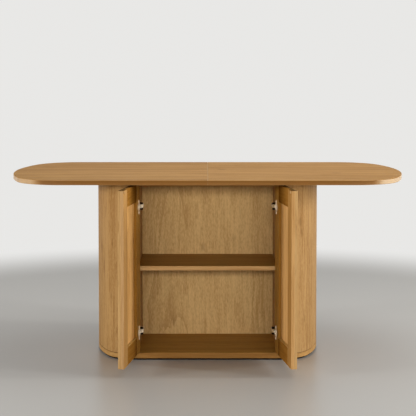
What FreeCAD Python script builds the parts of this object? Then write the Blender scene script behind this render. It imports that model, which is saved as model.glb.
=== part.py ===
import FreeCAD, Part
import math
import os

# Pedestal dining table: a soft-ended top in two halves on a closed pedestal, which holds a cabinet
# with a shelf and two doors on concealed cup hinges. Millimetres and degrees.
# Origin: on the floor under the middle of the pedestal. +X along the table, +Y to its back, +Z up.
# The doors are drawn closed and then turned to their rest position, which is open.

os.makedirs("parts", exist_ok=True)
Vec = FreeCAD.Vector
UP = Vec(0, 0, 1)

# ---------------------------------------------------------------- table top
table_height = 762.0
top_length = 1660.0
top_depth = 865.0
top_thickness = 19.0
top_end_radius = 920.0
top_corner_radius = 200.0
top_edge_chamfer = 1.2
seam_bevel = 1.2

# ---------------------------------------------------------------- pedestal
base_length = 944.0
base_depth = 560.0
base_end_radius = 480.0
base_corner_radius = 110.0
plinth_height = 8.0
plinth_recess = 8.0
bottom_thickness = 23.0
bottom_lip = 18.0
wall_thickness = 18.0
wall_end_x = 308.0
reveal_height = 2.5
reveal_depth = 2.0
carcass_top_thickness = 23.0
gable_thickness = 18.0
cabinet_width = 574.0
cabinet_depth = 353.0
inner_back_thickness = 12.0
outer_back_thickness = 18.0
post_width = 37.0
post_depth = 48.0
fit_gap = 0.3

# ---------------------------------------------------------------- shelf
shelf_thickness = 18.0
shelf_top_height = 387.0
shelf_setback = 3.0
shelf_side_gap = 1.0
shelf_back_gap = 2.0
pin_radius = 2.5
pin_depth = 9.0
pin_reach = 9.0
pin_front_offset = 50.0
pin_back_offset = 50.0
pin_clearance = 0.05

# ---------------------------------------------------------------- doors
door_thickness = 24.0
door_skin_thickness = 12.0
door_bottom_gap = 3.0
door_top_gap = 9.0
door_meeting_gap = 3.0
door_hinge_gap = 3.5
door_back_gap = 3.5
door_edge_round = 1.5
stile_width = 65.0
rail_width = 70.0
door_open_angle = 99.0
scoop_length = 62.0
scoop_depth = 7.0
scoop_from_top = 140.0
bumper_radius = 5.0
bumper_inset = 14.0
bumper_drop = 7.0

# ---------------------------------------------------------------- hinges
swing_axis_from_edge = 8.0
swing_axis_from_face = 7.5
hinge_from_top = 96.0
hinge_from_bottom = 83.0
cup_radius = 17.4
cup_bore_clearance = 0.1
cup_depth = 11.4
cup_wall = 1.0
cup_edge_distance = 5.0
flange_thickness = 1.5
flange_length = 60.0
flange_width = 13.0
hinge_pin_radius = 1.1
hinge_pin_clearance = 0.05
cup_pin_from_center = 12.0
cup_pin_depth = 2.5
link_pivot_reach = 23.0
link_thickness = 1.4
link_width = 8.0
link_side_gap = 0.3
link_bow = 5.5
link_eye_radius = 2.3
arm_width = 14.0
arm_height = 16.0
arm_length = 52.0
arm_wall = 1.2
arm_front_setback = 0.5
arm_nose_radius = 2.6
arm_nose_start = 200.0
arm_nose_end = 360.0
plate_thickness = 4.0
plate_length = 46.0
plate_width = 15.0
plate_wing_span = 44.0
plate_wing_length = 12.0
plate_front_setback = 8.0

# ---------------------------------------------------------------- loose tongue across the seam
tongue_width = 24.0
tongue_thickness = 6.0
tongue_clearance = 0.1
tongue_end_distance = 60.0

# ---------------------------------------------------------------- heights and planes that follow
top_underside = table_height - top_thickness
bottom_top = plinth_height + bottom_thickness
lip_top = plinth_height + bottom_lip
carcass_ceiling = top_underside - carcass_top_thickness
front_y = -base_depth / 2
back_y = base_depth / 2
gable_inner_x = cabinet_width / 2
gable_outer_x = gable_inner_x + gable_thickness
door_inner_y = front_y + door_thickness
gable_front_y = door_inner_y + door_back_gap
inner_back_y = front_y + cabinet_depth
outer_back_y = back_y - outer_back_thickness
shelf_front_y = gable_front_y + shelf_setback
shelf_back_y = inner_back_y - shelf_back_gap
shelf_underside = shelf_top_height - shelf_thickness
door_low = bottom_top + door_bottom_gap
door_high = top_underside - door_top_gap
door_hinge_x = wall_end_x - door_hinge_gap
door_free_x = door_meeting_gap / 2
skin_inner_y = front_y + door_skin_thickness
hinge_heights = (door_low + hinge_from_bottom, door_high - hinge_from_top)
swing_axis = Vec(door_hinge_x - swing_axis_from_edge, front_y + swing_axis_from_face, 0)
cup_x = door_hinge_x - cup_edge_distance - cup_radius
arm_face_x = gable_inner_x - plate_thickness - arm_height
arm_front_y = gable_front_y + arm_front_setback

TOP_OUTLINE = (top_length / 2, top_depth / 2, top_end_radius, top_corner_radius)
BASE_OUTLINE = (base_length / 2, base_depth / 2, base_end_radius, base_corner_radius)


# ---------------------------------------------------------------- shared helpers
def box(x0, x1, y0, y1, z0, z1):
    return Part.makeBox(x1 - x0, y1 - y0, z1 - z0, Vec(x0, y0, z0))


def cylinder(radius, start, end):
    return Part.makeCylinder(radius, (end - start).Length, start, end - start)


def mirrored(shape):
    """The same piece on the left side of the table."""
    return shape.mirror(Vec(0, 0, 0), Vec(1, 0, 0))


def polar(center, radius, angle):
    """A point at an angle in degrees round a center, in plan."""
    turn = math.radians(angle)
    return center + Vec(radius * math.cos(turn), radius * math.sin(turn), 0)


def arc(center, radius, start, end):
    middle = polar(center, radius, (start + end) / 2)
    return Part.Arc(polar(center, radius, start), middle, polar(center, radius, end)).toShape()


def line(start, end):
    return Part.makeLine(start, end)


def extruded(edges, z0, z1):
    """A solid from a closed run of plan edges at height 0, between two heights."""
    face = Part.Face(Part.Wire(edges))
    face.translate(Vec(0, 0, z0))
    return face.extrude(Vec(0, 0, z1 - z0))


def soft_block(outline, inset, z0, z1):
    """A block whose plan has straight long sides, round corners and gently bowed ends."""
    half_length, half_depth, end_radius, corner_radius = outline
    end_x = half_length - end_radius
    corner_y = half_depth - corner_radius
    corner_x = end_x + math.sqrt((end_radius - corner_radius) ** 2 - corner_y ** 2)
    turn = math.degrees(math.atan2(corner_y, corner_x - end_x))
    end_r = end_radius - inset
    corner_r = corner_radius - inset
    side_y = half_depth - inset
    edges = []
    for sign in (1, -1):
        edges.append(line(Vec(sign * corner_x, -sign * side_y, 0), Vec(-sign * corner_x, -sign * side_y, 0)))
        base = 0 if sign < 0 else 180
        centers = (Vec(-sign * corner_x, -sign * corner_y, 0), Vec(-sign * corner_x, sign * corner_y, 0))
        edges.append(arc(centers[0], corner_r, base + 90, base + turn))
        edges.append(arc(Vec(-sign * end_x, 0, 0), end_r, base + turn, base - turn))
        edges.append(arc(centers[1], corner_r, base - turn, base - 90))
    return extruded(edges, z0, z1)


def to_rest(shape):
    """Turns a piece of the closed right door to its open rest position."""
    opened = shape.copy()
    opened.rotate(swing_axis, UP, door_open_angle)
    return opened


def keep(name, solids):
    """Writes one node: a single solid, or a group of like solids."""
    shape = solids[0] if len(solids) == 1 else Part.makeCompound(solids)
    shape.exportStep("parts/" + name + ".step")


def keep_pair(name, solids):
    """Writes a right-hand piece and its mirror image."""
    keep("right_" + name, solids)
    keep("left_" + name, [mirrored(solid) for solid in solids])


# ---------------------------------------------------------------- table top
def tongue(clearance):
    half_width = tongue_width / 2 + clearance
    half_length = top_depth / 2 - tongue_end_distance + clearance
    half_thickness = tongue_thickness / 2 + clearance
    z = top_underside + top_thickness / 2
    return box(-half_width, half_width, -half_length, half_length, z - half_thickness, z + half_thickness)


def tabletop_halves():
    slab = soft_block(TOP_OUTLINE, 0, top_underside, table_height)
    rims = [edge for edge in slab.Edges if edge.BoundBox.ZLength < fit_gap]
    slab = slab.makeChamfer(top_edge_chamfer, rims)
    seam_groove = box(-seam_bevel, seam_bevel, -top_depth, top_depth, -seam_bevel, seam_bevel)
    seam_groove.rotate(Vec(0, 0, 0), Vec(0, 1, 0), 45)
    seam_groove.translate(Vec(0, 0, table_height))
    slab = slab.cut([seam_groove, tongue(tongue_clearance)])
    half = box(0, top_length, -top_depth, top_depth, 0, table_height)
    right = slab.common(half)
    left = slab.common(mirrored(half))
    return right.Solids[0], left.Solids[0]


# ---------------------------------------------------------------- pedestal
def plinth_board():
    return soft_block(BASE_OUTLINE, plinth_recess, 0, plinth_height)


def bottom_panel():
    """The floor of the pedestal, rebated round both ends for the curved walls."""
    lip = soft_block(BASE_OUTLINE, 0, plinth_height, lip_top)
    raised = soft_block(BASE_OUTLINE, 0, lip_top, bottom_top)
    middle = box(-wall_end_x + fit_gap, wall_end_x - fit_gap, front_y, back_y, lip_top, bottom_top)
    inner = soft_block(BASE_OUTLINE, wall_thickness + fit_gap, lip_top, bottom_top)
    return lip.fuse([raised.common(middle), inner]).removeSplitter()


def right_end_wall():
    """The curved end wall, with a shadow groove where it meets the bottom panel."""
    groove_top = lip_top + reveal_height
    hollow = soft_block(BASE_OUTLINE, wall_thickness, lip_top, top_underside)
    wall = soft_block(BASE_OUTLINE, 0, groove_top, top_underside)
    foot = soft_block(BASE_OUTLINE, reveal_depth, lip_top, groove_top)
    ring = wall.fuse(foot).cut(hollow)
    right_end = box(wall_end_x, base_length, front_y, back_y, 0, table_height)
    return ring.common(right_end).removeSplitter().Solids[0]


def right_corner_post(y0, y1):
    """A post that ties the gable to the end of the curved wall."""
    post = box(gable_outer_x, wall_end_x + post_width, y0, y1, bottom_top, carcass_ceiling)
    post = post.common(soft_block(BASE_OUTLINE, wall_thickness + fit_gap, bottom_top, carcass_ceiling))
    door_room = box(gable_inner_x, wall_end_x, front_y, gable_front_y, 0, table_height)
    return post.cut(door_room).Solids[0]


def carcass_top():
    panel = soft_block(BASE_OUTLINE, wall_thickness + fit_gap, carcass_ceiling, top_underside)
    return panel.common(box(-base_length, base_length, gable_front_y, outer_back_y, 0, table_height))


def shelf_pin_places():
    return (shelf_front_y + pin_front_offset, shelf_back_y - pin_back_offset)


def right_shelf_pin(y, clearance):
    z = shelf_underside - pin_radius
    start = Vec(gable_inner_x - pin_reach, y, z)
    end = Vec(gable_inner_x + pin_depth + clearance, y, z)
    return cylinder(pin_radius + clearance, start, end)


def right_gable():
    panel = box(gable_inner_x, gable_outer_x, gable_front_y, outer_back_y, bottom_top, carcass_ceiling)
    return panel.cut([right_shelf_pin(y, pin_clearance) for y in shelf_pin_places()])


def inner_back():
    y1 = inner_back_y + inner_back_thickness
    return box(-gable_inner_x, gable_inner_x, inner_back_y, y1, bottom_top, carcass_ceiling)


def outer_back():
    half = wall_end_x - fit_gap
    return box(-half, half, outer_back_y, back_y, bottom_top, top_underside)


def shelf():
    half = gable_inner_x - shelf_side_gap
    return box(-half, half, shelf_front_y, shelf_back_y, shelf_underside, shelf_top_height)


# ---------------------------------------------------------------- doors, drawn closed on the right
def finger_scoop():
    """A shallow dish in the outer face, halved by the edge where the doors meet."""
    dish_radius = ((scoop_length / 2) ** 2 + scoop_depth ** 2) / (2 * scoop_depth)
    center = Vec(door_free_x, front_y + scoop_depth - dish_radius, door_high - scoop_from_top)
    return Part.makeSphere(dish_radius, center)


def door_skin():
    panel = box(door_free_x, door_hinge_x, front_y, skin_inner_y, door_low, door_high)
    outer_edges = [edge for edge in panel.Edges if edge.BoundBox.YMax < front_y + fit_gap]
    return panel.makeFillet(door_edge_round, outer_edges).cut(finger_scoop())


def cup_bores():
    bores = []
    for z in hinge_heights:
        start = Vec(cup_x, skin_inner_y, z)
        bores.append(cylinder(cup_radius + cup_bore_clearance, start, Vec(cup_x, door_inner_y, z)))
    return bores


def hinge_stile():
    x0 = door_hinge_x - stile_width
    return box(x0, door_hinge_x, skin_inner_y, door_inner_y, door_low, door_high).cut(cup_bores())


def free_stile():
    return box(door_free_x, door_free_x + stile_width, skin_inner_y, door_inner_y, door_low, door_high)


def door_rail(z0):
    x0 = door_free_x + stile_width
    x1 = door_hinge_x - stile_width
    return box(x0, x1, skin_inner_y, door_inner_y, z0, z0 + rail_width)


def door_bumper():
    """A soft pad that meets the front edge of the carcass top when the door is shut."""
    start = Vec(door_free_x + bumper_inset, door_inner_y, door_high - bumper_drop)
    return cylinder(bumper_radius, start, start + Vec(0, door_back_gap - fit_gap, 0))


# ---------------------------------------------------------------- hinges, drawn closed on the right
def cup_pin_center():
    return Vec(cup_x + cup_pin_from_center, door_inner_y - cup_pin_depth, 0)


def link_pivot():
    """The arm's pivot: as far from the cup's pin with the door open as with it closed."""
    spoke = cup_pin_center() - swing_axis
    closed_angle = math.degrees(math.atan2(spoke.y, spoke.x))
    return polar(swing_axis, link_pivot_reach, closed_angle + door_open_angle / 2)


def hinge_cup(z):
    """A drawn cup with its screw flange and the pin that the link turns on."""
    rim = Vec(cup_x, door_inner_y, z)
    rim_rise = Vec(0, flange_thickness, 0)
    half_wing = flange_length / 2 - flange_width / 2
    wing = box(
        cup_x - flange_width / 2, cup_x + flange_width / 2,
        door_inner_y, door_inner_y + flange_thickness,
        z - half_wing, z + half_wing,
    )
    ends = []
    for side in (1, -1):
        tip = rim + Vec(0, 0, side * half_wing)
        ends.append(cylinder(flange_width / 2, tip, tip + rim_rise))
    bowl = cylinder(cup_radius, rim - Vec(0, cup_depth, 0), rim + rim_rise)
    hollow_floor = rim - Vec(0, cup_depth - cup_wall, 0)
    hollow = cylinder(cup_radius - cup_wall, hollow_floor, rim + Vec(0, cup_depth, 0))
    body = bowl.fuse([wing] + ends).cut(hollow)
    pin_outside = cup_pin_from_center + hinge_pin_radius
    half_pin = math.sqrt((cup_radius - cup_wall / 2) ** 2 - pin_outside ** 2)
    low = cup_pin_center() + Vec(0, 0, z - half_pin)
    high = cup_pin_center() + Vec(0, 0, z + half_pin)
    pin = cylinder(hinge_pin_radius, low, high)
    return body.fuse(pin).removeSplitter().Solids[0]


def link_turn():
    """How far the link turns in plan while the door goes from closed to its rest position."""
    to_pin = cup_pin_center() - link_pivot()
    to_axis = swing_axis - link_pivot()
    return -2 * math.degrees(to_pin.getAngle(to_axis))


def hinge_link(z):
    """A link bowed to clear the cup's rim: an eye on the cup's pin, a round end between the arm's."""
    first = cup_pin_center()
    last = link_pivot()
    chord = last - first
    heading = math.degrees(math.atan2(chord.y, chord.x))
    bow_radius = ((chord.Length / 2) ** 2 + link_bow ** 2) / (2 * link_bow)
    bow_center = polar((first + last) / 2, bow_radius - link_bow, heading - 90)
    half_turn = math.degrees(math.asin(chord.Length / 2 / bow_radius))
    outer = bow_radius + link_thickness / 2
    inner = bow_radius - link_thickness / 2
    start = heading + 90 - half_turn
    end = heading + 90 + half_turn
    z0 = z - link_width / 2
    z1 = z + link_width / 2
    strap = extruded([
        arc(bow_center, outer, start, end),
        line(polar(bow_center, outer, end), polar(bow_center, inner, end)),
        arc(bow_center, inner, end, start),
        line(polar(bow_center, inner, start), polar(bow_center, outer, start)),
    ], z0, z1)
    low = Vec(0, 0, z0)
    high = Vec(0, 0, z1)
    eyes = [cylinder(link_eye_radius, end_point + low, end_point + high) for end_point in (first, last)]
    bore = cylinder(hinge_pin_radius + hinge_pin_clearance, first + low, first + high)
    return strap.fuse(eyes).cut(bore).removeSplitter().Solids[0]


def rest_link(z):
    """The link carried round by the open door and turned back about the cup's pin."""
    pin = cup_pin_center()
    pin = swing_axis + FreeCAD.Rotation(UP, door_open_angle).multVec(pin - swing_axis)
    opened = to_rest(hinge_link(z))
    opened.rotate(pin, UP, link_turn() - door_open_angle)
    return opened


def hinge_arm(z):
    """A folded channel with a closed nose; its cheeks reach forward and carry a short pin each."""
    back_x = arm_face_x + arm_height
    arm_back_y = arm_front_y + arm_length
    half = arm_width / 2
    inner_half = half - arm_wall
    channel = box(arm_face_x, back_x, arm_front_y, arm_back_y, z - half, z + half)
    trough_y = arm_front_y + arm_wall
    trough = box(arm_face_x + arm_wall, back_x, trough_y, arm_back_y, z - inner_half, z + inner_half)
    pivot = link_pivot()
    cheek_run = [
        line(Vec(arm_face_x, arm_front_y, 0), polar(pivot, arm_nose_radius, arm_nose_start)),
        arc(pivot, arm_nose_radius, arm_nose_start, arm_nose_end),
        line(polar(pivot, arm_nose_radius, arm_nose_end), Vec(back_x, arm_front_y, 0)),
        line(Vec(back_x, arm_front_y, 0), Vec(arm_face_x, arm_front_y, 0)),
    ]
    pin_start = link_width / 2 + link_side_gap
    added = []
    for side in (1, -1):
        low, high = sorted((z + side * inner_half, z + side * half))
        added.append(extruded(cheek_run, low, high))
        pin_end = pivot + Vec(0, 0, z + side * half)
        added.append(cylinder(hinge_pin_radius, pivot + Vec(0, 0, z + side * pin_start), pin_end))
    return channel.cut(trough).fuse(added).removeSplitter().Solids[0]


def hinge_plate(z):
    """The mounting plate on the gable: a saddle under the arm and two screw wings."""
    x0 = gable_inner_x - plate_thickness
    y0 = gable_front_y + plate_front_setback
    saddle = box(x0, gable_inner_x, y0, y0 + plate_length, z - plate_width / 2, z + plate_width / 2)
    wing_y = y0 + plate_length / 2 - plate_wing_length / 2
    wings = box(
        gable_inner_x - plate_thickness / 2, gable_inner_x,
        wing_y, wing_y + plate_wing_length,
        z - plate_wing_span / 2, z + plate_wing_span / 2,
    )
    return saddle.fuse(wings).removeSplitter().Solids[0]


# ---------------------------------------------------------------- write the nodes
right_half, left_half = tabletop_halves()
keep("right_tabletop", [right_half])
keep("left_tabletop", [left_half])
keep("seam_tongue", [tongue(0)])

keep("plinth_board", [plinth_board()])
keep("bottom_panel", [bottom_panel()])
keep("carcass_top", [carcass_top()])
keep("inner_back", [inner_back()])
keep("outer_back", [outer_back()])
keep("shelf", [shelf()])
keep_pair("end_wall", [right_end_wall()])
keep_pair("gable", [right_gable()])
keep_pair("front_corner_post", [right_corner_post(front_y, front_y + wall_thickness + post_depth)])
keep_pair("rear_corner_post", [right_corner_post(outer_back_y - post_depth, outer_back_y)])
pins = [right_shelf_pin(y, 0) for y in shelf_pin_places()]
keep("shelf_pins", pins + [mirrored(pin) for pin in pins])

keep_pair("door_skin", [to_rest(door_skin())])
keep_pair("door_hinge_stile", [to_rest(hinge_stile())])
keep_pair("door_free_stile", [to_rest(free_stile())])
keep_pair("door_top_rail", [to_rest(door_rail(door_high - rail_width))])
keep_pair("door_bottom_rail", [to_rest(door_rail(door_low))])
keep_pair("door_bumper", [to_rest(door_bumper())])

keep_pair("hinge_cups", [to_rest(hinge_cup(z)) for z in hinge_heights])
keep_pair("hinge_arms", [hinge_arm(z) for z in hinge_heights])
keep_pair("hinge_plates", [hinge_plate(z) for z in hinge_heights])
keep_pair("hinge_links", [rest_link(z) for z in hinge_heights])
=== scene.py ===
import bmesh
import bpy
import math
from mathutils import Euler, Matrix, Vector


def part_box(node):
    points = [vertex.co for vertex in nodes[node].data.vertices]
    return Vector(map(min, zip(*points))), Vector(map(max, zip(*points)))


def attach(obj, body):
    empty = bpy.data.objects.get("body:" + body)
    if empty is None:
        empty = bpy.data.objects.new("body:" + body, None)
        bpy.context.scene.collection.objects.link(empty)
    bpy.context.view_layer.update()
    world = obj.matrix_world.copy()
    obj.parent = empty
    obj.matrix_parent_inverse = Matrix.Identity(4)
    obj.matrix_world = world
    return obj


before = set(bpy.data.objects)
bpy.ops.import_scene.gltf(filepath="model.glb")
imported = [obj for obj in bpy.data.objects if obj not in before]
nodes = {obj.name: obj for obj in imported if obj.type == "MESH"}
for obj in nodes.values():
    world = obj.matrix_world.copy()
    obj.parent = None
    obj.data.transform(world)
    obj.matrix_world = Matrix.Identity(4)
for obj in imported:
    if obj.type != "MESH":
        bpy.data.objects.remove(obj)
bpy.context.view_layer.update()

# ---------------------------------------------------------------- sizes of the solids, in metres
TOP_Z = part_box("right_tabletop")[1].z
CEILING_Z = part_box("carcass_top")[0].z
BACK_FACE_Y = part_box("inner_back")[0].y
FRONT_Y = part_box("bottom_panel")[0].y
GABLE_FRONT_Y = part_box("right_gable")[0].y
TOP_RAIL_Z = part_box("right_door_top_rail")[0].z
GROOVE_HEIGHT = 0.0025
GROOVE_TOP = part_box("right_end_wall")[0].z + GROOVE_HEIGHT

# the doors: how far they stand open, and edges of the right door measured from its swing axis
DOOR_TURN = 99.0
SWING_AXIS = Vector((0.2965, -0.2725, 0.0))
SKIN_THICKNESS = 0.012
SKIN_INNER_Y = FRONT_Y + SKIN_THICKNESS - SWING_AXIS.y
STILE_EDGE_X = 0.2395 - SWING_AXIS.x
DOOR_END_X = 0.0015 - SWING_AXIS.x

# the hinges: their heights, and where the screws of cup, plate and arm sit
HINGE_Z = (0.117, 0.638)
CUP_X = 0.2821
CUP_FACE_Y = -0.2545
FLANGE_SCREW_STEP = 0.047
PLATE_FACE_X = 0.2850
PLATE_SCREW_Y = -0.2215
PLATE_SCREW_STEP = 0.0295
ARM_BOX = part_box("right_hinge_arms")
ARM_SCREW_Y = -0.238
ARM_SCREW_STEP = 0.026
SCREW_HEAD_HEIGHT = 0.0009
SCREW_HEAD_RISE = 0.4 * SCREW_HEAD_HEIGHT

# the screws that hold the table top: three pairs
TOP_SCREW_FIRST = (-0.25, -0.18)
TOP_SCREW_STEP_X = 0.25
TOP_SCREW_STEP_Y = 0.20

# the end caps of a hinge arm: from and to these distances above and below its middle
CAP_FROM = 0.0071
CAP_TO = {1: 0.0135, -1: 0.0165}
CAP_FRONT_Y = GABLE_FRONT_Y + 0.0014
CAP_BACK_Y = GABLE_FRONT_Y + 0.0190
CAP_INSET = 0.0006
CAP_STEP_DEPTH = 0.0045
CAP_STEP_LENGTH = 0.0055
CAP_CORNER = 0.0040
CAP_CORNER_FACETS = 6
CAP_BEVEL = 0.0009
SORT_LINE = Vector((1.0, 0.618, 0.414))

SIDES = ((1, "right"), (-1, "left"))


# ---------------------------------------------------------------- helpers for node trees
def add_node(tree, kind, **settings):
    node = tree.nodes.new(kind)
    for name, value in settings.items():
        setattr(node, name, value)
    return node


def feed(tree, socket, value):
    if isinstance(value, bpy.types.NodeSocket):
        tree.links.new(value, socket)
    else:
        socket.default_value = value


def calc(tree, operation, a, b=0.0, c=0.0, clamp=False):
    node = add_node(tree, "ShaderNodeMath", operation=operation, use_clamp=clamp)
    for socket, value in zip(node.inputs, (a, b, c)):
        feed(tree, socket, value)
    return node.outputs[0]


def times(tree, a, b):
    return calc(tree, "MULTIPLY", a, b)


def vary(tree, value, amount, base, clamp=False):
    """The base, changed by the amount times what the value has over one half."""
    return calc(tree, "MULTIPLY_ADD", calc(tree, "SUBTRACT", value, 0.5), amount, base, clamp)


def split(tree, vector):
    node = add_node(tree, "ShaderNodeSeparateXYZ")
    feed(tree, node.inputs[0], vector)
    return node.outputs[0], node.outputs[1], node.outputs[2]


def join(tree, x, y, z):
    node = add_node(tree, "ShaderNodeCombineXYZ")
    for socket, value in zip(node.inputs, (x, y, z)):
        feed(tree, socket, value)
    return node.outputs[0]


def noise(tree, coordinate, size, detail=2.0, roughness=0.5):
    """Smooth noise whose lumps are about size metres along x, y and z: its value and its colour."""
    stretch = add_node(tree, "ShaderNodeVectorMath", operation="DIVIDE")
    feed(tree, stretch.inputs[0], coordinate)
    feed(tree, stretch.inputs[1], size)
    node = add_node(tree, "ShaderNodeTexNoise")
    feed(tree, node.inputs["Vector"], stretch.outputs[0])
    node.inputs["Scale"].default_value = 1.0
    node.inputs["Detail"].default_value = detail
    node.inputs["Roughness"].default_value = roughness
    return node.outputs[0], node.outputs[1]


def chance(tree, number):
    """Three steady random numbers from 0 to 1 for each whole number."""
    node = add_node(tree, "ShaderNodeTexWhiteNoise", noise_dimensions="1D")
    feed(tree, node.inputs["W"], number)
    return split(tree, node.outputs["Color"])


def slope(tree, value, low, high, smooth=True):
    """0 below low, 1 above high, with a soft step between them."""
    kind = "SMOOTHSTEP" if smooth else "LINEAR"
    node = add_node(tree, "ShaderNodeMapRange", interpolation_type=kind)
    feed(tree, node.inputs["Value"], value)
    feed(tree, node.inputs["From Min"], low)
    feed(tree, node.inputs["From Max"], high)
    return node.outputs[0]


def blend_colour(tree, share, first, second, kind="MIX"):
    node = add_node(tree, "ShaderNodeMix", data_type="RGBA", blend_type=kind)
    feed(tree, node.inputs["Factor"], share)
    feed(tree, node.inputs[6], first)
    feed(tree, node.inputs[7], second)
    return node.outputs[2]


def new_group(name, kind, inputs, outputs):
    """An empty node group with named sockets, and its input and output nodes."""
    group = bpy.data.node_groups.new(name, kind)
    for label, socket_type, value in inputs:
        socket = group.interface.new_socket(label, in_out="INPUT", socket_type=socket_type)
        if value is not None:
            socket.default_value = value
    for label, socket_type in outputs:
        group.interface.new_socket(label, in_out="OUTPUT", socket_type=socket_type)
    source = add_node(group, "NodeGroupInput")
    sink = add_node(group, "NodeGroupOutput")
    return group, source.outputs, sink.inputs


# ---------------------------------------------------------------- oak, shared by every board
def make_oak_group():
    """Oak sawn or sliced into planks: growth rings round a pith behind the face, streaks and pores.

    The coordinate runs across the board in x, through it in y and along its grain in z.
    """
    group, given, result = new_group("oak_board", "ShaderNodeTree", [
        ("Coordinate", "NodeSocketVector", None),
        ("Seed", "NodeSocketFloat", 1.0),
        ("Plank Width", "NodeSocketFloat", 0.12),
        ("Ring Spacing", "NodeSocketFloat", 0.007),
        ("Lean", "NodeSocketFloat", 0.05),
        ("Figure", "NodeSocketFloat", 0.5),
        ("Streaks", "NodeSocketFloat", 2.0),
        ("Bands", "NodeSocketFloat", 1.0),
        ("Band Width", "NodeSocketFloat", 0.02),
        ("Marks", "NodeSocketFloat", 0.4),
        ("Speckle", "NodeSocketFloat", 0.0),
        ("Plank Contrast", "NodeSocketFloat", 0.3),
        ("Sheen Loss", "NodeSocketFloat", 0.42),
        ("Pale Wood", "NodeSocketColor", (0.50, 0.295, 0.115, 1.0)),
        ("Dark Wood", "NodeSocketColor", (0.355, 0.187, 0.062, 1.0)),
        ("Pore Wood", "NodeSocketColor", (0.15, 0.07, 0.02, 1.0)),
    ], [("Color", "NodeSocketColor"), ("Roughness", "NodeSocketFloat"), ("Height", "NodeSocketFloat")])
    x, y, z = split(group, given["Coordinate"])
    seed = given["Seed"]

    place = calc(group, "MULTIPLY_ADD", seed, 7.31, calc(group, "DIVIDE", x, given["Plank Width"]))
    index = calc(group, "FLOOR", place)
    plank_number = calc(group, "MULTIPLY_ADD", seed, 13.7, index)
    side_chance, along_chance, depth_chance = chance(group, plank_number)
    in_plank = calc(group, "SUBTRACT", calc(group, "FRACT", place), 0.5)
    board_x = vary(group, side_chance, 0.09, times(group, in_plank, given["Plank Width"]))
    board_z = calc(group, "MULTIPLY_ADD", along_chance, 2.7, z)
    board = join(group, board_x, y, board_z)

    wander = split(group, noise(group, board, (0.10, 0.10, 0.42))[1])
    ring_x = vary(group, wander[0], 0.05, board_x)
    pith = calc(group, "MULTIPLY_ADD", depth_chance, 0.07, calc(group, "ADD", y, 0.05))
    lean = times(group, given["Lean"], calc(group, "MULTIPLY_ADD", depth_chance, 2.0, -1.0))
    pith = calc(group, "MULTIPLY_ADD", lean, z, pith)
    pith = calc(group, "MAXIMUM", vary(group, wander[1], 0.05, pith), 0.015)
    squared = calc(group, "MULTIPLY_ADD", ring_x, ring_x, times(group, pith, pith))
    rings = calc(group, "DIVIDE", calc(group, "SQRT", squared), given["Ring Spacing"])
    uneven = noise(group, board, (0.02, 0.02, 0.15))[0]
    rings = calc(group, "ADD", rings, uneven)
    ring = calc(group, "POWER", calc(group, "FRACT", rings), 0.6)
    ring_number = calc(group, "ADD", calc(group, "FLOOR", rings), times(group, index, 31.0))
    weight = chance(group, ring_number)[0]
    ring = calc(group, "SUBTRACT", 1.0, times(group, calc(group, "SUBTRACT", 1.0, ring), weight))

    streak = noise(group, board, (0.007, 0.007, 0.16), 3.0, 0.65)[0]
    width = given["Band Width"]
    band = noise(group, board, join(group, width, width, times(group, width, 26.0)))[0]
    fibre = noise(group, board, (0.0014, 0.0014, 0.035))[0]
    vessel = noise(group, board, (0.0006, 0.0006, 0.010), 0.0)[0]
    open_wood = calc(group, "MULTIPLY_ADD", ring, -0.75, 1.0)
    pore = times(group, slope(group, vessel, 0.60, 0.72), open_wood)
    patch = noise(group, board, (0.07, 0.07, 0.30))[0]
    mark = slope(group, noise(group, board, (0.011, 0.011, 0.09), 1.0)[0], 0.62, 0.80)
    speckle = noise(group, board, (0.0045, 0.0045, 0.014), 1.0)[0]

    tone = calc(group, "MULTIPLY_ADD", calc(group, "SUBTRACT", ring, 0.75), given["Figure"], 0.5)
    tone = vary(group, streak, given["Streaks"], tone)
    tone = vary(group, band, given["Bands"], tone)
    tone = vary(group, fibre, 0.7, tone)
    tone = vary(group, patch, 0.9, tone)
    tone = vary(group, speckle, given["Speckle"], tone)
    tone = vary(group, along_chance, given["Plank Contrast"], tone, clamp=True)
    colour = blend_colour(group, tone, given["Dark Wood"], given["Pale Wood"])
    colour = blend_colour(group, times(group, mark, given["Marks"]), colour, given["Pore Wood"])
    colour = blend_colour(group, times(group, pore, 0.4), colour, given["Pore Wood"])
    feed(group, result["Color"], colour)

    rough = calc(group, "MULTIPLY_ADD", pore, 0.15, given["Sheen Loss"])
    feed(group, result["Roughness"], calc(group, "MULTIPLY_ADD", fibre, 0.08, rough))
    height = calc(group, "MULTIPLY_ADD", pore, -1.0, times(group, fibre, 0.4))
    feed(group, result["Height"], calc(group, "MULTIPLY_ADD", ring, 0.2, height))
    return group


def make_arris_group():
    """Softened edges: a normal rounded over the radius, and a mask that is 1 on the edge itself."""
    group, given, result = new_group("soft_arris", "ShaderNodeTree", [
        ("Coordinate", "NodeSocketVector", None),
        ("Radius", "NodeSocketFloat", 0.001),
    ], [("Normal", "NodeSocketVector"), ("Edge", "NodeSocketFloat")])
    rounded = add_node(group, "ShaderNodeBevel", samples=4)
    feed(group, rounded.inputs["Radius"], given["Radius"])
    flat = add_node(group, "ShaderNodeNewGeometry")
    agree = add_node(group, "ShaderNodeVectorMath", operation="DOT_PRODUCT")
    feed(group, agree.inputs[0], rounded.outputs[0])
    feed(group, agree.inputs[1], flat.outputs["Normal"])
    edge = slope(group, agree.outputs["Value"], 1.0, 0.80)
    broken = noise(group, given["Coordinate"], (0.02, 0.02, 0.05), 3.0)[0]
    feed(group, result["Normal"], rounded.outputs[0])
    feed(group, result["Edge"], times(group, edge, slope(group, broken, 0.30, 0.60)))
    return group


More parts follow.
